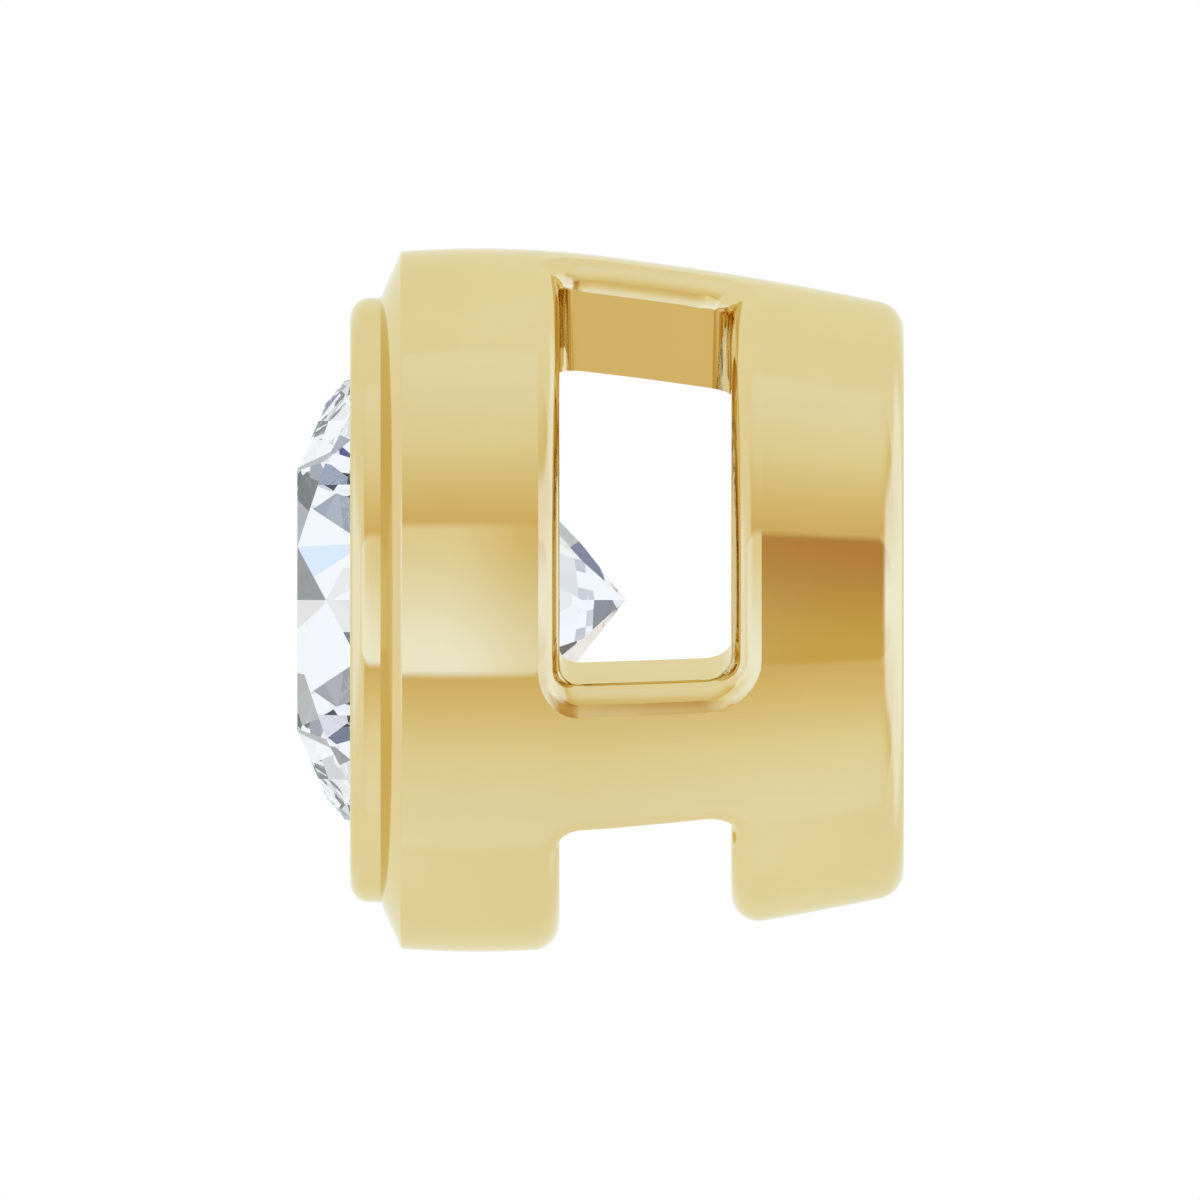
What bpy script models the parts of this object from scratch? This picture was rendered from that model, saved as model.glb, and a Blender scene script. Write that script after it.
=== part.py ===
# Slide pendant with one round brilliant-cut stone, at its real size.
# It lies on its open back with the stone upward. +Z is the way the stone faces, +Y is the top of the
# pendant as it is worn, and the chain runs along X: in by one upper window and out by the other.

import math

import bmesh
import bpy
import numpy as np
from mathutils import Vector

MM = 0.001

# Below, lengths are in millimetres: heights above the back face, and radii from the barrel's axis.

# The barrel's outer side, from near its back edge to its crisp front edge.
BARREL_SIDE = (
    # height, radius
    (0.285, 2.997),
    (1.335, 3.197),
    (2.535, 3.379),
    (3.435, 3.486),
    (4.135, 3.520),
    (5.030, 3.490),
)
BARREL_SIDE_STEP = 0.36
WALL_THICKNESS = 1.10
BACK_EDGE_ROUND = 0.30
BACK_BORE_BREAK = 0.06
BORE_RADIUS = 2.40
BORE_HEIGHTS = (0.06, 0.90, 1.75, 2.60, 3.20, 3.60)

# The bezel stands on the barrel's front, inside a sloping shoulder, and its lip folds over the stone.
BEZEL_RADIUS = 3.025
BEZEL_FOOT = 5.235
BEZEL_TOP = 5.54
BEZEL_ROUND = 0.20
LIP_TOP_RADIUS = 2.52
LIP_INNER_RADIUS = 2.42
LIP_BEVEL = 0.08

# Three windows are cut in from the side, two above for the chain and one below. Their ends are radial.
WINDOW_BACK = 1.729
WINDOW_FRONT = 3.444
WINDOW_HALF_ANGLE = 45.3
WINDOW_MIDDLES = (30.0, 150.0, 270.0)
FRONT_CORNER = 0.21
BACK_CORNER = 0.265
# How far the rounding of a window's outer edge reaches across the surface, and down the wall.
FRONT_ROUND = Vector((0.21, 0.23))
BACK_ROUND = Vector((0.32, 0.29))
END_ROUND = Vector((0.28, 0.28))
CUTTER_INNER_RADIUS = 1.2
CUTTER_OUTER_RADIUS = 4.4
ROUND_LAST_ANGLE = 74.0
ROUND_RUN_ON = 0.6
ROUND_STEPS = 3
CORNER_STEPS = 4

# The stone.
STONE_RADIUS = 2.60
STONE_TOP = 6.07
TABLE_RADIUS = 1.40
STAR_RADIUS = 1.98
LOWER_TIP_RADIUS = 0.57
CROWN_ANGLE = math.radians(34.0)
PAVILION_ANGLE = math.radians(40.8)
CULET = 2.795
STONE_GAP = 0.03
STONE_SIDES = 64
STONE_FOLDS = 8
BLANK_EXTRA = 0.5
SAME_POINT = 0.0001

# How finely the round faces are turned, and which edges stay crisp.
TURN_STEPS = 72
ARC_STEPS = 4
SHARP_ANGLE = math.radians(25.0)

GIRDLE_TOP = STONE_TOP - (STONE_RADIUS - TABLE_RADIUS) * math.tan(CROWN_ANGLE)
GIRDLE_BOTTOM = CULET + STONE_RADIUS * math.tan(PAVILION_ANGLE)


def clear_scene():
    for old in list(bpy.data.objects):
        bpy.data.objects.remove(old, do_unlink=True)


def make_material(name, colour, roughness, metallic, transmission=0.0, ior=1.45):
    material = bpy.data.materials.new(name)
    material.use_nodes = True
    shader = material.node_tree.nodes["Principled BSDF"]
    shader.inputs["Base Color"].default_value = (*colour, 1.0)
    shader.inputs["Roughness"].default_value = roughness
    shader.inputs["Metallic"].default_value = metallic
    shader.inputs["Transmission Weight"].default_value = transmission
    shader.inputs["IOR"].default_value = ior
    return material


def add_object(name, mesh_data, material=None):
    obj = bpy.data.objects.new(name, mesh_data)
    bpy.context.scene.collection.objects.link(obj)
    if material:
        mesh_data.materials.append(material)
    return obj


def polar(radius, degrees, height):
    angle = math.radians(degrees)
    return Vector((radius * math.cos(angle), radius * math.sin(angle), height))


def barrel_radius(height):
    # A smooth curve through the rows of BARREL_SIDE, straight on past its first row.
    heights, radii = np.array(BARREL_SIDE).T
    slopes = np.gradient(radii, heights)
    row = int(np.clip(np.searchsorted(heights, height) - 1, 0, len(heights) - 2))
    span = heights[row + 1] - heights[row]
    t = (height - heights[row]) / span
    if t < 0:
        return radii[0] + slopes[0] * (height - heights[0])
    start = radii[row] * (1 + 2 * t) * (1 - t) ** 2 + slopes[row] * span * t * (1 - t) ** 2
    end = radii[row + 1] * t * t * (3 - 2 * t) + slopes[row + 1] * span * t * t * (t - 1)
    return start + end


def arc(centre_radius, centre_height, radius, first_degrees, last_degrees):
    points = []
    for angle in np.radians(np.linspace(first_degrees, last_degrees, ARC_STEPS + 1)):
        points.append(
            (centre_radius + radius * math.cos(angle), centre_height + radius * math.sin(angle))
        )
    return points


def outer_profile():
    # Radius and height, from the lip of the bezel down to the back face.
    points = [(LIP_TOP_RADIUS, BEZEL_TOP)]
    points += arc(BEZEL_RADIUS - BEZEL_ROUND, BEZEL_TOP - BEZEL_ROUND, BEZEL_ROUND, 90, 0)
    points.append((BEZEL_RADIUS, BEZEL_FOOT))
    # The side runs down to the rounding of the back edge, which it meets at its own slope.
    slope = math.atan(barrel_radius(BACK_EDGE_ROUND) - barrel_radius(BACK_EDGE_ROUND - 1.0))
    side_end = BACK_EDGE_ROUND * (1 - math.sin(slope))
    side_top = BARREL_SIDE[-1][0]
    side_steps = round((side_top - side_end) / BARREL_SIDE_STEP)
    for height in np.linspace(side_top, side_end, side_steps + 1)[:-1]:
        points.append((barrel_radius(height), height))
    round_radius = barrel_radius(BACK_EDGE_ROUND) - BACK_EDGE_ROUND / math.cos(slope)
    points += arc(round_radius, BACK_EDGE_ROUND, BACK_EDGE_ROUND, -math.degrees(slope), -90)
    return points


def inner_profile():
    # Radius and height, from the back face up the hollow and the stone's seat to the lip.
    back_bore = barrel_radius(0.0) - WALL_THICKNESS
    points = [(back_bore + BACK_BORE_BREAK, 0.0)]
    for height in BORE_HEIGHTS:
        points.append((min(barrel_radius(height) - WALL_THICKNESS, BORE_RADIUS), height))
    seat_radius = STONE_RADIUS + STONE_GAP
    drop = STONE_GAP / math.cos(PAVILION_ANGLE)
    for radius in (BORE_RADIUS, seat_radius):
        height = GIRDLE_BOTTOM - (STONE_RADIUS - radius) * math.tan(PAVILION_ANGLE) - drop
        points.append((radius, height))
    points.append((seat_radius, GIRDLE_TOP))
    points.append((LIP_INNER_RADIUS, BEZEL_TOP - LIP_BEVEL))
    return points


def turned_body(name, material):
    mesh_data = bpy.data.meshes.new(name)
    profile = outer_profile() + inner_profile()
    corners = [(radius * MM, 0.0, height * MM) for radius, height in profile]
    edges = [(i, (i + 1) % len(corners)) for i in range(len(corners))]
    mesh_data.from_pydata(corners, edges, [])
    obj = add_object(name, mesh_data, material)
    screw = obj.modifiers.new("turn", "SCREW")
    screw.steps = TURN_STEPS
    screw.render_steps = TURN_STEPS
    screw.use_merge_vertices = True
    screw.merge_threshold = 0.001 * MM
    return obj


def window_outline():
    # Points round a window, unrolled flat: each has its place from the middle, its outward direction
    # and the rounding of the edge there.
    reach = barrel_radius((WINDOW_BACK + WINDOW_FRONT) / 2)
    half_width = math.radians(WINDOW_HALF_ANGLE) * reach
    half_height = (WINDOW_FRONT - WINDOW_BACK) / 2
    side_steps = round(WINDOW_HALF_ANGLE * 2 / (360 / TURN_STEPS)) - 2
    outline = []
    for quarter, (sign_x, sign_y) in enumerate(((1, 1), (-1, 1), (-1, -1), (1, -1))):
        corner = FRONT_CORNER if sign_y > 0 else BACK_CORNER
        side_round = FRONT_ROUND if sign_y > 0 else BACK_ROUND
        centre = Vector((sign_x * (half_width - corner), sign_y * (half_height - corner)))
        for step in range(CORNER_STEPS + 1):
            angle = math.pi / 2 * (quarter + step / CORNER_STEPS)
            outward = Vector((math.cos(angle), math.sin(angle)))
            rounding = END_ROUND.lerp(side_round, outward.y**2)
            outline.append((centre + outward * corner, outward, rounding))
        if quarter in (0, 2):
            start, outward, rounding = outline[-1]
            end = Vector((-start.x, start.y))
            for step in range(1, side_steps):
                outline.append((start.lerp(end, step / side_steps), outward, rounding))
    return outline


def add_window_cutter(work, middle):
    # Rings of points from the hollow out to the open air. Those near the outer face spread, which
    # rounds the window's edge, and the last of them runs straight on till it clears that face.
    middle_height = (WINDOW_BACK + WINDOW_FRONT) / 2
    reach = barrel_radius(middle_height)
    last_angle = math.radians(ROUND_LAST_ANGLE)
    rings = [(0.0, 0.0, CUTTER_INNER_RADIUS)]
    for angle in np.linspace(0.0, last_angle, ROUND_STEPS + 1):
        rings.append((angle, 0.0, None))
    rings.append((last_angle, ROUND_RUN_ON, None))
    rings.append((last_angle, ROUND_RUN_ON, CUTTER_OUTER_RADIUS))

    loops = []
    for angle, run_on, fixed_radius in rings:
        loop = []
        across = 1 - math.cos(angle) + run_on * math.sin(angle)
        down = 1 - math.sin(angle) - run_on * math.cos(angle)
        for point, outward, rounding in window_outline():
            place = point + outward * rounding.x * across
            height = middle_height + place.y
            radius = fixed_radius or barrel_radius(height) - rounding.y * down
            degrees = middle + math.degrees(place.x / reach)
            loop.append(work.verts.new(polar(radius, degrees, height) * MM))
        loops.append(loop)
    for low, high in zip(loops, loops[1:]):
        for i in range(len(low)):
            j = (i + 1) % len(low)
            work.faces.new((low[i], low[j], high[j], high[i]))
    for loop, radius in ((loops[0], CUTTER_INNER_RADIUS), (loops[-1], CUTTER_OUTER_RADIUS)):
        hub = work.verts.new(polar(radius, middle, middle_height) * MM)
        for i in range(len(loop)):
            work.faces.new((hub, loop[i], loop[(i + 1) % len(loop)]))


def windows_cutter():
    work = bmesh.new()
    for middle in WINDOW_MIDDLES:
        add_window_cutter(work, middle)
    bmesh.ops.recalc_face_normals(work, faces=work.faces)
    mesh_data = bpy.data.meshes.new("windows_cutter")
    work.to_mesh(mesh_data)
    work.free()
    cutter = add_object("windows_cutter", mesh_data)
    cutter.hide_render = True
    cutter.display_type = "WIRE"
    return cutter


def apply_modifiers(obj):
    bpy.context.view_layer.update()
    evaluated = obj.evaluated_get(bpy.context.evaluated_depsgraph_get())
    finished = bpy.data.meshes.new_from_object(evaluated)
    obj.modifiers.clear()
    obj.data = finished


def gold_slide():
    gold = make_material("yellow_gold", (0.80, 0.58, 0.24), 0.12, 1.0)
    body = turned_body("gold_slide", gold)
    cut = body.modifiers.new("windows", "BOOLEAN")
    cut.operation = "DIFFERENCE"
    cut.solver = "EXACT"
    cutter = windows_cutter()
    cut.object = cutter
    apply_modifiers(body)
    bpy.data.objects.remove(cutter, do_unlink=True)
    body.data.shade_smooth()
    body.data.set_sharp_from_angle(angle=SHARP_ANGLE)
    return body


def facet_planes():
    # Three points on each facet of the stone, the table first.
    side_turn = 360.0 / STONE_FOLDS
    half_turn = side_turn / 2
    middle_share = math.cos(math.radians(half_turn))
    star_fall = (STAR_RADIUS * middle_share - TABLE_RADIUS) * math.tan(CROWN_ANGLE)
    star_height = STONE_TOP - star_fall
    tip_height = CULET + LOWER_TIP_RADIUS * middle_share * math.tan(PAVILION_ANGLE)
    culet = Vector((0.0, 0.0, CULET))
    planes = [[polar(TABLE_RADIUS, degrees, STONE_TOP) for degrees in (0, 90, 180)]]
    for side in range(STONE_FOLDS):
        star = side * side_turn
        star_tip = polar(STAR_RADIUS, star, star_height)
        lower_tip = polar(LOWER_TIP_RADIUS, star, tip_height)
        table_ends = [polar(TABLE_RADIUS, star + turn, STONE_TOP) for turn in (-half_turn, half_turn)]
        planes.append((star_tip, *table_ends))
        next_star = polar(STAR_RADIUS, star + side_turn, star_height)
        planes.append((polar(STONE_RADIUS, star + half_turn, GIRDLE_TOP), star_tip, next_star))
        next_tip = polar(LOWER_TIP_RADIUS, star + side_turn, tip_height)
        planes.append((culet, lower_tip, next_tip))
        for turn in (-half_turn, half_turn):
            for tip, height in ((star_tip, GIRDLE_TOP), (lower_tip, GIRDLE_BOTTOM)):
                near = polar(STONE_RADIUS, star, height)
                far = polar(STONE_RADIUS, star + turn, height)
                planes.append((tip, near, far))
    return planes


def round_stone():
    # A round blank, ground away facet by facet as a real stone is.
    work = bmesh.new()
    bmesh.ops.create_cone(
        work,
        cap_ends=True,
        segments=STONE_SIDES,
        radius1=STONE_RADIUS,
        radius2=STONE_RADIUS,
        depth=STONE_TOP - CULET + 2 * BLANK_EXTRA,
    )
    bmesh.ops.translate(work, verts=work.verts, vec=(0.0, 0.0, (STONE_TOP + CULET) / 2))
    inside = Vector((0.0, 0.0, (GIRDLE_TOP + GIRDLE_BOTTOM) / 2))
    for first, second, third in facet_planes():
        outward = (second - first).cross(third - first).normalized()
        if outward.dot(inside - first) > 0:
            outward.negate()
        geometry = list(work.verts) + list(work.edges) + list(work.faces)
        cut = bmesh.ops.bisect_plane(
            work, geom=geometry, dist=SAME_POINT, plane_co=first, plane_no=outward, clear_outer=True
        )
        rim = [item for item in cut["geom_cut"] if isinstance(item, bmesh.types.BMEdge)]
        bmesh.ops.holes_fill(work, edges=rim)
    bmesh.ops.remove_doubles(work, verts=work.verts, dist=SAME_POINT)
    bmesh.ops.recalc_face_normals(work, faces=work.faces)
    bmesh.ops.scale(work, verts=work.verts, vec=(MM, MM, MM))
    mesh_data = bpy.data.meshes.new("round_stone")
    work.to_mesh(mesh_data)
    work.free()
    clear = make_material("clear_stone", (0.96, 0.98, 1.0), 0.02, 0.0, transmission=0.9, ior=2.42)
    return add_object("round_stone", mesh_data, clear)


clear_scene()
gold_slide()
round_stone()
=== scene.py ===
import math

import bmesh
import bpy
import numpy as np
from mathutils import Matrix, Vector


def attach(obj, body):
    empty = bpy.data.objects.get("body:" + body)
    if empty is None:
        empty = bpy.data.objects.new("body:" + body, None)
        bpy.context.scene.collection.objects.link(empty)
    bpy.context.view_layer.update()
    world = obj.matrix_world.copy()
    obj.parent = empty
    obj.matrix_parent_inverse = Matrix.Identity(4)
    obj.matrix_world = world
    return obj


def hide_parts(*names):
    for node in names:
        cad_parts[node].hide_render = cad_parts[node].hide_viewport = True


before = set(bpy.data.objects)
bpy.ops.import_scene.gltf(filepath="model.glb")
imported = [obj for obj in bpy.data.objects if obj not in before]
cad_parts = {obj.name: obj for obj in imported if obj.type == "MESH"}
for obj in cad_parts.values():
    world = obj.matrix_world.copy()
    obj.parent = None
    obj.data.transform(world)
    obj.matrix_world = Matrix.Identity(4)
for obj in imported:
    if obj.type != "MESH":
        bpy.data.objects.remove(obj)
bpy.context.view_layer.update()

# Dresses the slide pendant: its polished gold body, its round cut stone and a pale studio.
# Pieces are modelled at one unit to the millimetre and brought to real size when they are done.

near = {  # how closely places and directions have to agree, in millimetres and as shares
    "cut": 1e-5,
    "line": 1e-4,
    "side": 4e-4,
    "end": 1e-3,
    "margin": 0.01,
    "straight": 0.999,
    "facing": 0.95,
    "level": 0.05,
    "upright": 0.02,
}


def pickOnly(obj):
    if bpy.context.object and bpy.context.object.mode != "OBJECT":
        bpy.ops.object.mode_set(mode="OBJECT")
    bpy.ops.object.select_all(action="DESELECT")
    obj.select_set(True)
    bpy.context.view_layer.objects.active = obj


def editOnly(obj):
    pickOnly(obj)
    bpy.ops.object.mode_set(mode="EDIT")
    bpy.ops.mesh.select_mode(type="FACE")


def applyModifier(obj, kind, **settings):
    pickOnly(obj)
    bpy.ops.object.modifier_add(type=kind)
    modifier = obj.modifiers[-1]
    for setting, value in settings.items():
        setattr(modifier, setting, value)
    bpy.ops.object.modifier_apply(modifier=modifier.name)


def chooseFaces(obj, wanted):
    bpy.ops.mesh.select_all(action="DESELECT")
    work = bmesh.from_edit_mesh(obj.data)
    for face in work.faces:
        if wanted(face):
            face.select_set(True)
    bmesh.update_edit_mesh(obj.data)


def polar(radius, degrees, height):
    angle = math.radians(degrees)
    return Vector((radius * math.cos(angle), radius * math.sin(angle), height))


def arc(centreRadius, centreHeight, radius, firstDegrees, lastDegrees, steps):
    turn = np.radians(np.linspace(firstDegrees, lastDegrees, steps + 1))
    return [(centreRadius + radius * math.cos(a), centreHeight + radius * math.sin(a)) for a in turn]


def finishPiece(obj, name, nodeName):
    pickOnly(obj)
    obj.scale = (0.001, 0.001, 0.001)
    bpy.ops.object.transform_apply(location=True, rotation=True, scale=True)
    obj.name = name
    obj.data.name = name
    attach(obj, "root")
    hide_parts(nodeName)
    print(name, "done with", len(obj.data.polygons), "faces")


# The gold slide.

slide = {
    "side": (  # height above the back face, and radius, down the barrel's outer side
        (0.285, 2.997),
        (1.335, 3.197),
        (2.535, 3.379),
        (3.435, 3.486),
        (4.135, 3.518),
        (5.030, 3.490),
    ),
    "sideLines": (4.75, 4.45, 4.15, 3.85, 2.80, 2.50, 2.20, 2.05, 1.30, 1.00, 0.70),  # none beside the rims
    "sideCuts": (0.40, 5.00, 0.15),  # first and last height of the fine lines, and the step between them
    "crispReach": (0.30, 1.30, 3.80),  # crisp lines run below the first, and from the others to the windows
    "wall": 1.10,
    "backEdgeRound": 0.30,
    "backEdgeSteps": 12,
    "boreBreak": 0.06,
    "boreRadius": 2.40,
    "boreHeights": (0.06, 0.90, 1.75, 2.60, 3.20, 3.60),
    "shoulderBreak": 0.012,
    "bezelRadius": 3.025,
    "bezelFoot": 5.235,
    "bezelTop": 5.54,
    "bezelRound": 0.20,
    "bezelSteps": 10,
    "lipTopRadius": 2.52,
    "lipInnerRadius": 2.42,
    "lipBevel": 0.08,
    "windowBack": 1.729,
    "windowFront": 3.444,
    "windowHalfAngle": 45.3,
    "windowMiddles": (30.0, 150.0, 270.0),
    "cutterDepth": 3.4,
    "cutterPlace": 0.5,
    "frontCorner": 0.21,
    "backCorner": 0.265,
    "cornerSteps": 8,
    "frontRound": 0.215,
    "backRound": 0.310,
    "endRound": 0.280,
    "roundSteps": 10,
    "roundProfile": 0.46,  # a little flatter than round, so that a rounding starts with a crisp line
    "endDepths": (0.10, 1.20, 0.12),  # the grid on a window's end walls, as first, last and step
    "endHeights": (1.80, 3.40, 0.14),
    "rollRadius": 3.4,  # the strip is modelled flat, as long as the way round at this radius
    "rollSteps": 180,
    "seamWeld": 0.0005,
    "smoothBelow": math.radians(24.0),
}

stone = {
    "radius": 2.60,
    "top": 6.067,
    "tableRadius": 1.395,
    "starRadius": 1.967,
    "lowerTipRadius": 0.553,
    "crownAngle": math.radians(34.17),
    "pavilionAngle": math.radians(40.52),
    "culet": 2.783,
    "gap": 0.03,
    "folds": 8,
    "girdleSides": 96,
    "blankDepth": 5.0,
    "weld": 1e-4,
}
stone["girdleTop"] = stone["top"] - (stone["radius"] - stone["tableRadius"]) * math.tan(stone["crownAngle"])
stone["girdleBottom"] = stone["culet"] + stone["radius"] * math.tan(stone["pavilionAngle"])


def barrelRadius(height):
    heights, radii = np.array(slide["side"]).T
    slopes = np.gradient(radii, heights)
    slopes[0] = 2 * (radii[1] - radii[0]) / (heights[1] - heights[0]) - slopes[1]
    slopes[-1] = 2 * (radii[-1] - radii[-2]) / (heights[-1] - heights[-2]) - slopes[-2]
    row = int(np.clip(np.searchsorted(heights, height) - 1, 0, len(heights) - 2))
    span = heights[row + 1] - heights[row]
    t = (height - heights[row]) / span
    if t < 0:
        return radii[0] + slopes[0] * (height - heights[0])
    start = radii[row] * (1 + 2 * t) * (1 - t) ** 2 + slopes[row] * span * t * (1 - t) ** 2
    end = radii[row + 1] * t * t * (3 - 2 * t) + slopes[row + 1] * span * t * t * (t - 1)
    return start + end


def slideSide():
    # from the crisp front edge down to the rounding of the back edge
    s = slide
    slope = math.atan(barrelRadius(s["backEdgeRound"]) - barrelRadius(s["backEdgeRound"] - 1.0))
    sideEnd = s["backEdgeRound"] * (1 - math.sin(slope))
    heights = (s["side"][-1][0], *s["sideLines"], sideEnd)
    return [(barrelRadius(height), height) for height in heights], slope


def slideOutline():
    # a closed outline of the wall, as radius and height
    s = slide
    side, slope = slideSide()
    frontRadius, frontHeight = side[0]
    points = [(s["lipInnerRadius"], s["bezelTop"] - s["lipBevel"])]
    points.append((s["lipTopRadius"], s["bezelTop"]))
    front = s["bezelRound"]
    points += arc(s["bezelRadius"] - front, s["bezelTop"] - front, front, 90, 0, s["bezelSteps"])
    points.append((s["bezelRadius"], s["bezelFoot"]))
    shoulder = Vector((s["bezelRadius"] - frontRadius, s["bezelFoot"] - frontHeight)).normalized()
    edge = s["shoulderBreak"]
    points.append((frontRadius + shoulder.x * edge, frontHeight + shoulder.y * edge))
    points.append((barrelRadius(frontHeight - edge), frontHeight - edge))
    points += side[1:-1]
    roundRadius = barrelRadius(s["backEdgeRound"]) - s["backEdgeRound"] / math.cos(slope)
    back = s["backEdgeRound"]
    points += arc(roundRadius, back, back, -math.degrees(slope), -90, s["backEdgeSteps"])
    points.append((barrelRadius(0.0) - s["wall"] + s["boreBreak"], 0.0))
    for height in s["boreHeights"]:
        points.append((min(barrelRadius(height) - s["wall"], s["boreRadius"]), height))
    seatRadius = stone["radius"] + stone["gap"]
    drop = stone["gap"] / math.cos(stone["pavilionAngle"])
    for radius in (s["boreRadius"], seatRadius):
        fall = (stone["radius"] - radius) * math.tan(stone["pavilionAngle"])
        points.append((radius, stone["girdleBottom"] - fall - drop))
    points.append((seatRadius, stone["girdleTop"]))
    return points


def coarseRadius(height, side):
    heights = [row[1] for row in reversed(side)]
    radii = [row[0] for row in reversed(side)]
    return float(np.interp(height, heights, radii))


def makeStrip():
    # the wall's outline, drawn from a circle and pulled out into a straight strip
    s = slide
    outline = slideOutline()
    length = 2 * math.pi * s["rollRadius"]
    bpy.ops.mesh.primitive_circle_add(vertices=len(outline), radius=1.0, fill_type="NGON")
    strip = bpy.context.object
    for vertex, (radius, height) in zip(strip.data.vertices, outline):
        vertex.co = (-length / 2, s["rollRadius"] - radius, height)
    editOnly(strip)
    bpy.ops.mesh.select_all(action="SELECT")
    bpy.ops.mesh.extrude_region_move(TRANSFORM_OT_translate={"value": (length, 0.0, 0.0)})
    bpy.ops.mesh.select_all(action="SELECT")
    bpy.ops.mesh.normals_make_consistent(inside=False)
    bpy.ops.object.mode_set(mode="OBJECT")
    return strip


def makeWindowBlock():
    # one block with rounded corners, the shape of a window laid flat
    s = slide
    width = 2 * math.radians(s["windowHalfAngle"]) * s["rollRadius"]
    height = s["windowFront"] - s["windowBack"]
    middle = (s["windowFront"] + s["windowBack"]) / 2
    bpy.ops.mesh.primitive_cube_add(
        size=1.0, location=(0.0, s["cutterPlace"], middle), scale=(width, s["cutterDepth"], height)
    )
    block = bpy.context.object
    bpy.ops.object.transform_apply(location=True, rotation=False, scale=True)
    for side, corner in ((1, s["frontCorner"]), (-1, s["backCorner"])):
        editOnly(block)
        bpy.ops.mesh.select_mode(type="EDGE")
        bpy.ops.mesh.select_all(action="DESELECT")
        work = bmesh.from_edit_mesh(block.data)
        for edge in work.edges:
            first, last = (vertex.co for vertex in edge.verts)
            along = abs(first.x - last.x) < near["line"] and abs(first.z - last.z) < near["line"]
            atCorner = (first.z - middle) * side > 0 and abs(first.x) > width / 2 - near["end"]
            if along and atCorner and abs(first.z - middle) > height / 2 - near["end"]:
                edge.select_set(True)
        bmesh.update_edit_mesh(block.data)
        bpy.ops.mesh.bevel(offset=corner, segments=s["cornerSteps"], affect="EDGES")
    bpy.ops.object.mode_set(mode="OBJECT")
    return block


def cutWindows(strip):
    s = slide
    block = makeWindowBlock()
    for middle in s["windowMiddles"]:
        turn = (middle + 90.0 + 180.0) % 360.0 - 180.0
        pickOnly(block)
        bpy.ops.object.duplicate()
        cutter = bpy.context.object
        cutter.location.x = math.radians(turn) * s["rollRadius"]
        applyModifier(strip, "BOOLEAN", operation="DIFFERENCE", solver="EXACT", object=cutter)
        bpy.data.objects.remove(cutter, do_unlink=True)
    bpy.data.objects.remove(block, do_unlink=True)


def roundWindowRims(strip):
    # the rims differ: narrow at the front, wide at the back, and between the two at the ends
    s = slide
    length = 2 * math.pi * s["rollRadius"]
    weights = strip.data.attributes.new("bevel_weight_edge", "FLOAT", "EDGE")
    work = bmesh.new()
    work.from_mesh(strip.data)
    layer = work.edges.layers.float["bevel_weight_edge"]
    found = 0
    for edge in work.edges:
        if len(edge.link_faces) != 2:
            continue
        outer, wall = sorted((face.normal.copy() for face in edge.link_faces), key=lambda normal: normal.y)
        middle = (edge.verts[0].co + edge.verts[1].co) / 2
        inReach = s["windowBack"] - near["margin"] < middle.z < s["windowFront"] + near["margin"]
        inReach = inReach and abs(middle.x) < length / 2 - near["margin"]
        if outer.y < -near["facing"] and abs(wall.y) < near["level"] and inReach:
            side = s["frontRound"] if wall.z < 0 else s["backRound"]
            edge[layer] = s["endRound"] + (side - s["endRound"]) * wall.z ** 2
            found += 1
    work.to_mesh(strip.data)
    work.free()
    print("window rims to round:", found)
    applyModifier(
        strip,
        "BEVEL",
        width=1.0,
        segments=s["roundSteps"],
        profile=s["roundProfile"],
        limit_method="WEIGHT",
        use_clamp_overlap=False,
        loop_slide=True,
    )


def refineSide(strip):
    # fine lines across the outer side, which then takes its true curve
    s = slide
    side, slope = slideSide()
    sideFront, sideBack = side[0][1], side[-1][1]
    crispBelow, behindWindow, beforeWindow = s["crispReach"]

    def onSide(point):
        off = abs(s["rollRadius"] - point.y - coarseRadius(point.z, side))
        return sideBack - near["line"] < point.z < sideFront + near["line"] and off < near["side"]

    editOnly(strip)
    for height in np.arange(*s["sideCuts"]):
        chooseFaces(strip, lambda face: all(onSide(vertex.co) for vertex in face.verts))
        bpy.ops.mesh.bisect(plane_co=(0, 0, height), plane_no=(0, 0, 1), threshold=near["cut"])
    chooseFaces(strip, lambda face: all(onSide(vertex.co) for vertex in face.verts))
    bpy.ops.mesh.region_to_loop()
    work = bmesh.from_edit_mesh(strip.data)
    for edge in work.edges:
        middle = (edge.verts[0].co + edge.verts[1].co) / 2
        atRim = behindWindow < middle.z < s["windowBack"] or s["windowFront"] < middle.z < beforeWindow
        inside = abs(middle.x) < math.pi * s["rollRadius"] - near["margin"]
        edge.select_set(edge.select and inside and (atRim or middle.z < crispBelow))
    bmesh.update_edit_mesh(strip.data)
    bpy.ops.mesh.mark_sharp()
    bpy.ops.object.mode_set(mode="OBJECT")
    for vertex in strip.data.vertices:
        if onSide(vertex.co):
            vertex.co.y = s["rollRadius"] - barrelRadius(vertex.co.z)


def refineWindowEnds(strip):
    # a grid on the flat end walls, and a crisp line where their roundings begin
    s = slide
    inner = math.pi * s["rollRadius"] - near["margin"]

    def onEndWall(face):
        return abs(face.normal.x) > near["straight"] and abs(face.calc_center_median().x) < inner

    editOnly(strip)
    for depth in np.arange(*s["endDepths"]):
        chooseFaces(strip, onEndWall)
        bpy.ops.mesh.bisect(plane_co=(0, depth, 0), plane_no=(0, 1, 0), threshold=near["cut"])
    for height in np.arange(*s["endHeights"]):
        chooseFaces(strip, onEndWall)
        bpy.ops.mesh.bisect(plane_co=(0, 0, height), plane_no=(0, 0, 1), threshold=near["cut"])
    chooseFaces(strip, onEndWall)
    bpy.ops.mesh.region_to_loop()
    bpy.ops.mesh.mark_sharp()
    bpy.ops.object.mode_set(mode="OBJECT")


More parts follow.
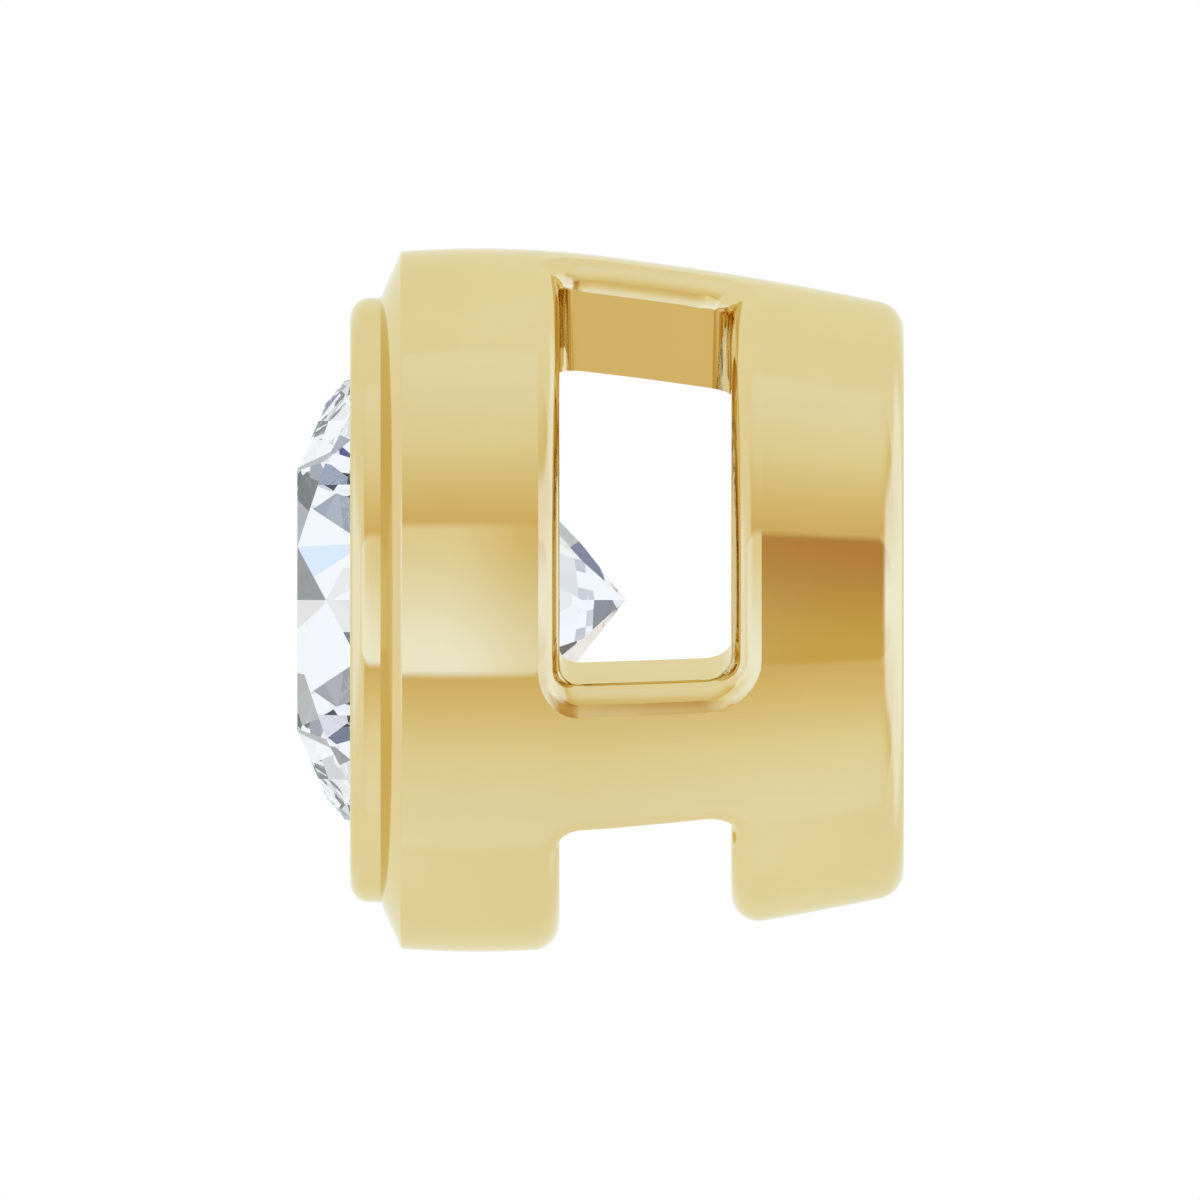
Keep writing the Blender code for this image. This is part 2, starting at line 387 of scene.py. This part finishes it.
def rollUp(strip):
    # more lines along the strip, so that it bends evenly, and then its ends are joined
    s = slide
    length = 2 * math.pi * s["rollRadius"]

    def atStripEnd(face):
        middle = face.calc_center_median()
        return abs(face.normal.x) > near["straight"] and abs(middle.x) > length / 2 - near["end"]

    editOnly(strip)
    for step in range(1, s["rollSteps"]):
        bpy.ops.mesh.select_all(action="SELECT")
        place = -length / 2 + length * step / s["rollSteps"]
        bpy.ops.mesh.bisect(plane_co=(place, 0, 0), plane_no=(1, 0, 0), threshold=near["cut"])
    chooseFaces(strip, atStripEnd)
    bpy.ops.mesh.delete(type="FACE")
    bpy.ops.object.mode_set(mode="OBJECT")
    applyModifier(strip, "SIMPLE_DEFORM", deform_method="BEND", deform_axis="Z", angle=2 * math.pi)
    for vertex in strip.data.vertices:
        vertex.co.y -= s["rollRadius"]
    editOnly(strip)
    bpy.ops.mesh.select_all(action="SELECT")
    bpy.ops.mesh.remove_doubles(threshold=s["seamWeld"])
    bpy.ops.mesh.select_all(action="SELECT")
    bpy.ops.mesh.normals_make_consistent(inside=False)
    bpy.ops.object.mode_set(mode="OBJECT")


def makeSlide():
    strip = makeStrip()
    cutWindows(strip)
    roundWindowRims(strip)
    refineSide(strip)
    refineWindowEnds(strip)
    rollUp(strip)
    pickOnly(strip)
    bpy.ops.object.shade_smooth_by_angle(angle=slide["smoothBelow"])
    applyModifier(strip, "WEIGHTED_NORMAL", mode="FACE_AREA", keep_sharp=True, weight=50)
    strip.data.materials.clear()
    strip.data.materials.append(makeGold())
    finishPiece(strip, "polishedSlide", "gold_slide")
    strip.visible_transmission = False  # the stone shows the bright room, not the metal behind it
    return strip


# The stone.


def facetPlanes():
    # three points on each facet, the table first
    s = stone
    sideTurn = 360.0 / s["folds"]
    halfTurn = sideTurn / 2
    middleShare = math.cos(math.radians(halfTurn))
    starHeight = s["top"] - (s["starRadius"] * middleShare - s["tableRadius"]) * math.tan(s["crownAngle"])
    tipHeight = s["culet"] + s["lowerTipRadius"] * middleShare * math.tan(s["pavilionAngle"])
    planes = [[polar(s["tableRadius"], degrees, s["top"]) for degrees in (0, 90, 180)]]
    for side in range(s["folds"]):
        star = side * sideTurn
        starTip = polar(s["starRadius"], star, starHeight)
        nextStar = polar(s["starRadius"], star + sideTurn, starHeight)
        lowerTip = polar(s["lowerTipRadius"], star, tipHeight)
        nextTip = polar(s["lowerTipRadius"], star + sideTurn, tipHeight)
        tableEnds = [polar(s["tableRadius"], star + turn, s["top"]) for turn in (-halfTurn, halfTurn)]
        planes.append((starTip, *tableEnds))
        planes.append((polar(s["radius"], star + halfTurn, s["girdleTop"]), starTip, nextStar))
        planes.append((Vector((0.0, 0.0, s["culet"])), lowerTip, nextTip))
        for turn in (-halfTurn, halfTurn):
            for tip, height in ((starTip, s["girdleTop"]), (lowerTip, s["girdleBottom"])):
                onGirdle = [polar(s["radius"], degrees, height) for degrees in (star, star + turn)]
                planes.append((tip, *onGirdle))
    return planes


def makeStone():
    # a round blank, ground away facet by facet as a real stone is
    s = stone
    inside = Vector((0.0, 0.0, (s["girdleTop"] + s["girdleBottom"]) / 2))
    bpy.ops.mesh.primitive_cylinder_add(
        vertices=s["girdleSides"],
        radius=s["radius"],
        depth=s["blankDepth"],
        location=(0.0, 0.0, (s["top"] + s["culet"]) / 2),
    )
    blank = bpy.context.object
    bpy.ops.object.transform_apply(location=True, rotation=True, scale=True)
    editOnly(blank)
    for first, second, third in facetPlanes():
        outward = (second - first).cross(third - first).normalized()
        if outward.dot(inside - first) > 0:
            outward.negate()
        bpy.ops.mesh.select_all(action="SELECT")
        bpy.ops.mesh.bisect(
            plane_co=first, plane_no=outward, use_fill=True, clear_outer=True, threshold=near["cut"]
        )
    bpy.ops.mesh.select_all(action="SELECT")
    bpy.ops.mesh.remove_doubles(threshold=s["weld"])
    bpy.ops.mesh.normals_make_consistent(inside=False)
    bpy.ops.object.mode_set(mode="OBJECT")
    bpy.ops.object.shade_flat()
    blank.data.materials.clear()
    blank.data.materials.append(makeClearStone())
    blank.data.materials.append(makeGirdle())
    for face in blank.data.polygons:
        if abs(face.normal.z) < near["upright"]:
            face.material_index = 1
    finishPiece(blank, "brilliantStone", "round_stone")
    return blank


# Finishes. Their patterns run on Object coordinates, in metres.


def newFinish(name):
    material = bpy.data.materials.new(name)
    material.use_nodes = True
    return material, material.node_tree.nodes, material.node_tree.links


def addNoise(nodes, links, place, scale, detail, roughness=0.5, stretch=(1.0, 1.0, 1.0)):
    mapping = nodes.new("ShaderNodeMapping")
    mapping.inputs["Scale"].default_value = stretch
    links.new(place.outputs["Object"], mapping.inputs["Vector"])
    noise = nodes.new("ShaderNodeTexNoise")
    noise.inputs["Scale"].default_value = scale
    noise.inputs["Detail"].default_value = detail
    noise.inputs["Roughness"].default_value = roughness
    links.new(mapping.outputs["Vector"], noise.inputs["Vector"])
    return noise


def addRamp(nodes, links, source, stops):
    stops = list(stops)
    ramp = nodes.new("ShaderNodeValToRGB")
    while len(ramp.color_ramp.elements) > 1:
        ramp.color_ramp.elements.remove(ramp.color_ramp.elements[-1])
    ramp.color_ramp.elements[0].position = stops[0][0]
    ramp.color_ramp.elements[0].color = (*stops[0][1], 1.0)
    for position, colour in stops[1:]:
        ramp.color_ramp.elements.new(position).color = (*colour, 1.0)
    links.new(source, ramp.inputs["Fac"])
    return ramp


def addSpread(nodes, links, source, low, high, fromLow=0.0, fromHigh=1.0):
    spread = nodes.new("ShaderNodeMapRange")
    spread.inputs["From Min"].default_value = fromLow
    spread.inputs["From Max"].default_value = fromHigh
    spread.inputs["To Min"].default_value = low
    spread.inputs["To Max"].default_value = high
    links.new(source, spread.inputs["Value"])
    return spread


goldLook = {
    "pale": (0.815, 0.645, 0.320),
    "deep": (0.785, 0.612, 0.292),
    "rim": (0.95, 0.91, 0.74),  # how much of the white glare at its outline the gold keeps
    "toneSize": 420.0,  # this and the next sizes are the noises' scales: more is finer
    "toneFrom": (0.35, 0.65),
    "wearSize": 2600.0,
    "wearFrom": (0.3, 0.7),
    "smooth": 0.015,
    "worn": 0.035,
    "lineSize": 9000.0,
    "lineStretch": (1.0, 1.0, 0.06),
    "polishLines": 0.006,
    "lineDepth": 0.00002,
}

stoneLook = {
    "clear": (1.0, 1.0, 1.0),
    "cool": (0.975, 0.988, 1.0),
    "index": 2.37,
    "glare": (0.3, 0.3, 0.3),  # a coated stone, which gives back less of the room at its surface
    "cloudSize": 900.0,
    "cloudFrom": (0.3, 0.7),
    "grainSize": 30000.0,
    "girdleRoughness": (0.02, 0.06),
}

paperLook = {
    "dim": (0.86, 0.86, 0.86),
    "bright": (0.90, 0.90, 0.90),
    "fibreSize": 900.0,
    "fibreFrom": (0.3, 0.7),
    "roughness": 0.9,
}


def makeGold():
    look = goldLook
    material, nodes, links = newFinish("polishedYellowGold")
    shader = nodes["Principled BSDF"]
    shader.inputs["Metallic"].default_value = 1.0
    shader.inputs["Specular Tint"].default_value = (*look["rim"], 1.0)
    place = nodes.new("ShaderNodeTexCoord")
    cloud = addNoise(nodes, links, place, look["toneSize"], 3.0)
    tone = addRamp(nodes, links, cloud.outputs["Fac"], zip(look["toneFrom"], (look["deep"], look["pale"])))
    links.new(tone.outputs["Color"], shader.inputs["Base Color"])
    wear = addNoise(nodes, links, place, look["wearSize"], 4.0, 0.6)
    rough = addSpread(nodes, links, wear.outputs["Fac"], look["smooth"], look["worn"], *look["wearFrom"])
    links.new(rough.outputs["Result"], shader.inputs["Roughness"])
    lines = addNoise(nodes, links, place, look["lineSize"], 2.0, 0.5, look["lineStretch"])
    bump = nodes.new("ShaderNodeBump")
    bump.inputs["Strength"].default_value = look["polishLines"]
    bump.inputs["Distance"].default_value = look["lineDepth"]
    links.new(lines.outputs["Fac"], bump.inputs["Height"])
    links.new(bump.outputs["Normal"], shader.inputs["Normal"])
    return material


def makeClearStone():
    look = stoneLook
    material, nodes, links = newFinish("clearCutStone")
    shader = nodes["Principled BSDF"]
    shader.inputs["Transmission Weight"].default_value = 1.0
    shader.inputs["IOR"].default_value = look["index"]
    shader.inputs["Specular Tint"].default_value = (*look["glare"], 1.0)
    shader.inputs["Roughness"].default_value = 0.0
    place = nodes.new("ShaderNodeTexCoord")
    cloud = addNoise(nodes, links, place, look["cloudSize"], 2.0)
    tone = addRamp(nodes, links, cloud.outputs["Fac"], zip(look["cloudFrom"], (look["cool"], look["clear"])))
    links.new(tone.outputs["Color"], shader.inputs["Base Color"])
    return material


def makeGirdle():
    look = stoneLook
    material, nodes, links = newFinish("groundGirdle")
    shader = nodes["Principled BSDF"]
    shader.inputs["Transmission Weight"].default_value = 1.0
    shader.inputs["IOR"].default_value = look["index"]
    place = nodes.new("ShaderNodeTexCoord")
    grain = addNoise(nodes, links, place, look["grainSize"], 2.0)
    rough = addSpread(nodes, links, grain.outputs["Fac"], *look["girdleRoughness"])
    links.new(rough.outputs["Result"], shader.inputs["Roughness"])
    return material


def makePaper():
    look = paperLook
    material, nodes, links = newFinish("paleStudioPaper")
    shader = nodes["Principled BSDF"]
    shader.inputs["Roughness"].default_value = look["roughness"]
    place = nodes.new("ShaderNodeTexCoord")
    fibre = addNoise(nodes, links, place, look["fibreSize"], 4.0)
    tone = addRamp(nodes, links, fibre.outputs["Fac"], zip(look["fibreFrom"], (look["dim"], look["bright"])))
    links.new(tone.outputs["Color"], shader.inputs["Base Color"])
    return material


# The studio.

studio = {
    "viewWidth": 0.012,
    "viewHeight": 0.00304,
    "viewDistance": 0.06,
    "viewNear": 0.001,
    "viewFar": 10.0,
    "floorSize": 0.6,
    "bounces": 24,  # enough turns of the light inside the stone and the windows
    "glossyBounces": 12,
    "stoneBounces": 16,
    "frontTones": (  # by how far the light comes from above or below, in front of the pendant
        (0.00, (0.95, 1.02, 1.13)),
        (0.20, (0.92, 0.96, 0.96)),
        (0.42, (0.77, 0.65, 0.37)),
        (0.55, (0.81, 0.74, 0.48)),
        (0.65, (0.84, 0.81, 0.62)),
        (0.80, (0.91, 0.94, 0.90)),
        (1.00, (0.93, 1.02, 1.13)),
    ),
    "frontFade": (0.45, 0.65),  # towards the stone's side these tones fade into the room behind
    "behind": (0.92, 0.98, 1.00),
    "behindFrom": (-0.03, 0.03),
    # The card in front, whose tones are given for above and below, from its dim end to its top.
    "cardDark": ((0.54, 0.325, 0.13), (0.69, 0.54, 0.21)),
    "cardMiddle": ((0.82, 0.75, 0.48), (0.95, 1.05, 1.23)),
    "cardBright": ((0.92, 0.95, 0.91), (1.03, 1.26, 1.85)),
    "cardTop": ((1.02, 1.18, 1.62), (1.05, 1.25, 1.80)),
    "cardAcross": (0.40, -0.40),  # where above turns into below
    "darkToMiddle": (-0.43, -0.05),
    "middleToBright": (-0.14, 0.08),
    "brightToTop": (0.35, 0.90),
    "cardSides": (0.42, 0.50),
    "cardEnd": (0.90, 1.50),
    "cardFront": (0.05, 0.30),
    "leastAhead": 0.02,
    "topGlow": (1.00, 1.15, 1.60),
    "topFrom": (0.72, 0.93),
    "topSpread": (0.18, 0.48),
    "floorGlow": (1.06, 1.28, 1.95),
    "floorFrom": (-0.54, -0.77),
    "floorSpread": (0.46, 0.62),
    "floorDip": (0.03, 0.30),  # beside its middle the glow is weaker by the share below
    "floorDipShare": 0.3,
    "background": (1.0, 1.0, 1.0),
    "roomThroughStone": (0.90, 0.92, 0.95),
    # What darkens the facets: its turn from the camera's side, rise and half width in degrees, and its tone.
    "stoneFlags": (
        (0, 90, 24, (0.34, 0.35, 0.38)),  # over the table
        (-50, 16, 13, (0.30, 0.34, 0.40)),
        (-48, 6, 5, (0.00, 0.00, 0.00)),
        (-65, -5, 8, (0.20, 0.23, 0.30)),
        (-118, -8, 10, (0.00, 0.00, 0.14)),
        (-118, -28, 10, (0.30, 0.30, 0.33)),
        (-160, -36, 12, (0.20, 0.20, 0.20)),
        (-169, -18, 6, (0.66, 0.80, 0.93)),
        (172, 34, 7, (0.17, 0.24, 0.32)),
        (-138, 21, 10, (0.00, 0.00, 0.12)),
        (168, 55, 9, (0.18, 0.18, 0.18)),
        (-10, 2, 5, (0.30, 0.30, 0.30)),
        (15, -2, 8, (0.55, 0.57, 0.60)),
        (152, 0, 9, (0.10, 0.10, 0.10)),
        (-128, 4, 7, (0.42, 0.42, 0.42)),
        (-168, 3, 7, (0.72, 0.74, 0.74)),
        (178, -2, 6, (0.78, 0.80, 0.76)),
        (165, -36, 9, (0.74, 0.73, 0.72)),
        (50, 15, 11, (0.24, 0.24, 0.25)),
        (48, 7, 5, (0.36, 0.36, 0.36)),
        (65, -4, 5, (0.20, 0.20, 0.25)),
        (55, -9, 5, (0.60, 0.58, 0.58)),
        (121, -31, 9, (0.30, 0.30, 0.28)),
        (-74, -26, 8, (0.08, 0.10, 0.20)),
        (-173, 34, 6, (0.65, 0.65, 0.68)),
    ),
    "flagEdge": 0.15,
}


class WorldNodes:
    def __init__(self, tree):
        self.nodes = tree.nodes
        self.links = tree.links

    def join(self, socket, value):
        if isinstance(value, (int, float)):
            socket.default_value = value
        elif isinstance(value, tuple):
            socket.default_value = (*value, 1.0)
        else:
            self.links.new(value, socket)

    def math(self, operation, first, second=0.0):
        node = self.nodes.new("ShaderNodeMath")
        node.operation = operation
        self.join(node.inputs[0], first)
        self.join(node.inputs[1], second)
        return node.outputs[0]

    def step(self, value, low, high):
        node = self.nodes.new("ShaderNodeMapRange")
        node.interpolation_type = "SMOOTHSTEP"
        self.join(node.inputs["Value"], value)
        node.inputs["From Min"].default_value = low
        node.inputs["From Max"].default_value = high
        return node.outputs["Result"]

    def along(self, vector, way):
        node = self.nodes.new("ShaderNodeVectorMath")
        node.operation = "DOT_PRODUCT"
        self.join(node.inputs[0], vector)
        node.inputs[1].default_value = way
        return node.outputs["Value"]

    def hang(self, direction, flags, edge, room):
        for turn, rise, width, colour in flags:
            way = polar(math.cos(math.radians(rise)), turn, math.sin(math.radians(rise)))
            full = math.cos(math.radians(width * (1 - edge)))
            gone = math.cos(math.radians(width * (1 + edge)))
            room = self.blend(self.step(self.along(direction, way), gone, full), room, colour)
        return room

    def without(self, *shares):
        left = 1.0
        for share in shares:
            left = self.math("MULTIPLY", left, self.math("SUBTRACT", 1.0, share))
        return left

    def blend(self, share, first, second):
        node = self.nodes.new("ShaderNodeMix")
        node.data_type = "RGBA"
        node.clamp_factor = True
        self.join(node.inputs[0], share)
        self.join(node.inputs[6], first)
        self.join(node.inputs[7], second)
        return node.outputs[2]


def makeLight():
    # soft light from all round: a pale room with a bright card in front of the window side
    look = studio
    world = bpy.data.worlds.new("softStudioLight")
    bpy.context.scene.world = world
    world.use_nodes = True
    w = WorldNodes(world.node_tree)
    background = w.nodes["Background"]
    direction = w.nodes.new("ShaderNodeTexCoord")
    split = w.nodes.new("ShaderNodeSeparateXYZ")
    w.links.new(direction.outputs["Generated"], split.inputs[0])
    x, y, z = split.outputs
    rise = w.math("ABSOLUTE", y)
    front = addRamp(w.nodes, w.links, rise, look["frontTones"]).outputs["Color"]
    front = w.blend(w.step(z, *look["frontFade"]), front, look["behind"])
    ahead = w.step(x, *look["behindFrom"])
    room = w.blend(ahead, look["behind"], front)
    safeX = w.math("MAXIMUM", x, look["leastAhead"])
    slant = w.math("DIVIDE", y, safeX)
    swing = w.math("DIVIDE", z, safeX)
    low = w.step(slant, *look["cardAcross"])
    dim = w.blend(low, *look["cardDark"])
    middle = w.blend(low, *look["cardMiddle"])
    bright = w.blend(low, *look["cardBright"])
    top = w.blend(low, *look["cardTop"])
    card = w.blend(w.step(swing, *look["darkToMiddle"]), dim, middle)
    card = w.blend(w.step(swing, *look["middleToBright"]), card, bright)
    card = w.blend(w.step(swing, *look["brightToTop"]), card, top)
    pastSides = w.step(w.math("ABSOLUTE", slant), *look["cardSides"])
    inCard = w.without(pastSides, w.step(swing, *look["cardEnd"]))
    inCard = w.math("MULTIPLY", inCard, w.step(x, *look["cardFront"]))
    room = w.blend(inCard, room, card)
    nearTop = w.without(w.step(rise, *look["topSpread"]))
    room = w.blend(w.math("MULTIPLY", w.step(z, *look["topFrom"]), nearTop), room, look["topGlow"])
    dip = w.math("MULTIPLY", w.step(rise, *look["floorDip"]), look["floorDipShare"])
    nearFloor = w.without(w.step(rise, *look["floorSpread"]), dip)
    room = w.blend(w.math("MULTIPLY", w.step(z, *look["floorFrom"]), nearFloor), room, look["floorGlow"])
    seen = w.nodes.new("ShaderNodeLightPath")
    hung = (look["stoneFlags"], look["flagEdge"], look["roomThroughStone"])
    throughStone = w.hang(direction.outputs["Generated"], *hung)
    room = w.blend(seen.outputs["Is Transmission Ray"], room, throughStone)
    room = w.blend(seen.outputs["Is Camera Ray"], room, look["background"])
    w.links.new(room, background.inputs["Color"])
    print("studio light set")


def makeFloor():
    bpy.ops.mesh.primitive_plane_add(size=studio["floorSize"], location=(0.0, 0.0, 0.0))
    floor = bpy.context.object
    floor.name = "studioFloor"
    floor.data.materials.append(makePaper())
    floor.visible_glossy = False
    floor.visible_transmission = False


def makeCamera():
    # straight on to the side of the pendant, with no perspective, and the stone to the left
    look = studio
    data = bpy.data.cameras.new("sideView")
    camera = bpy.data.objects.new("sideView", data)
    bpy.context.scene.collection.objects.link(camera)
    data.type = "ORTHO"
    data.ortho_scale = look["viewWidth"]
    data.clip_start = look["viewNear"]
    data.clip_end = look["viewFar"]
    right, up, back = Vector((0, 0, -1)), Vector((0, 1, 0)), Vector((1, 0, 0))
    turn = Matrix((right, up, back)).transposed().to_4x4()
    camera.matrix_world = Matrix.Translation((look["viewDistance"], 0.0, look["viewHeight"])) @ turn
    bpy.context.scene.camera = camera
    bpy.context.scene.view_settings.view_transform = "Standard"
    paths = bpy.context.scene.cycles
    paths.max_bounces = look["bounces"]
    paths.glossy_bounces = look["glossyBounces"]
    paths.transmission_bounces = look["stoneBounces"]


pickOnly(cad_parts["gold_slide"])
bpy.ops.object.select_all(action="DESELECT")
makeSlide()
makeStone()
makeFloor()
makeLight()
makeCamera()
